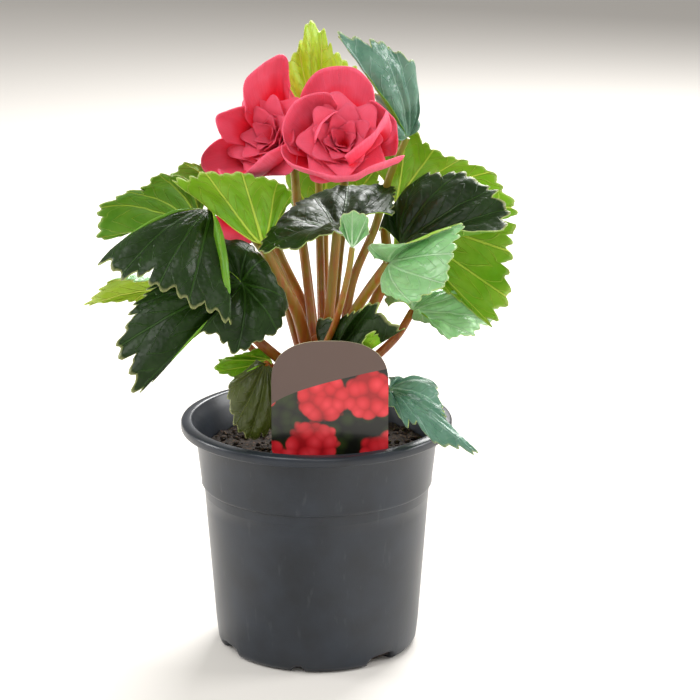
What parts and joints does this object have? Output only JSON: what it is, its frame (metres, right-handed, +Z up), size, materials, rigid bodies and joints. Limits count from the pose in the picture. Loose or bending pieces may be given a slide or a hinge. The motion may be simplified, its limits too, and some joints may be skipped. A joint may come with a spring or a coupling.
{
  "type": "potted begonia",
  "caption": "Tuberous begonia with double pink flowers and toothed leaves, rooted in compost in a round nursery pot with a plain plant label.",
  "frame": {"origin": "pot's axis at the underside of its base", "axes": "+Z up along the pot's axis, front of the plant (label side) at -Y, +X to the right seen from the front"},
  "size_m": [0.2054, 0.1355, 0.3001],
  "materials": {
    "pot": "moulded dark slate grey plastic, satin",
    "soil": "damp dark compost with fibres",
    "label": "printed plastic card, semi-gloss",
    "stem": "smooth fleshy red-brown stalks",
    "leaf": "glossy green leaves, lighter underneath",
    "petal": "soft satin coral-pink petals"
  },
  "bodies": {
    "root": {"flower_stalk_front": "stem", "flower_stalk_hidden": "stem", "flower_stalk_left": "stem", "front_flower_heart": "petal", "front_flower_petal_back": "petal", "front_flower_petal_front": "petal", "front_flower_petal_inner_left": "petal", "front_flower_petal_left": "petal", "front_flower_petal_right": "petal", "front_flower_petal_right_front": "petal", "hidden_flower_heart": "petal", "hidden_flower_petal_lower": "petal", "hidden_flower_petal_upper": "petal", "leaf_back_left": "leaf", "leaf_centre_back": "leaf", "leaf_centre_left": "leaf", "leaf_centre_right": "leaf", "leaf_front_left": "leaf", "leaf_left_drooping": "leaf", "leaf_left_far": "leaf", "leaf_left_front": "leaf", "leaf_left_low": "leaf", "leaf_left_small": "leaf", "leaf_low_arching": "leaf", "leaf_low_bract": "leaf", "leaf_right_glossy": "leaf", "leaf_right_large": "leaf", "leaf_right_low": "leaf", "leaf_right_rim": "leaf", "leaf_stalk_back_left": "stem", "leaf_stalk_centre_back": "stem", "leaf_stalk_centre_left": "stem", "leaf_stalk_centre_right": "stem", "leaf_stalk_front_left": "stem", "leaf_stalk_left_drooping": "stem", "leaf_stalk_left_far": "stem", "leaf_stalk_left_front": "stem", "leaf_stalk_left_low": "stem", "leaf_stalk_left_small": "stem", "leaf_stalk_right_glossy": "stem", "leaf_stalk_right_large": "stem", "leaf_stalk_right_low": "stem", "leaf_stalk_right_rim": "stem", "leaf_stalk_top_back": "stem", "leaf_stalk_top_right": "stem", "leaf_stalk_young_centre": "stem", "leaf_top_back": "leaf", "leaf_top_right": "leaf", "leaf_young_centre": "leaf", "left_flower_heart": "petal", "left_flower_petal_front": "petal", "left_flower_petal_lower_left": "petal", "left_flower_petal_right": "petal", "left_flower_petal_top": "petal", "left_flower_petal_upper_left": "petal", "main_stem": "stem", "plant_label": "label", "pot": "pot", "root_ball": "soil"}
  },
  "joints": []
}
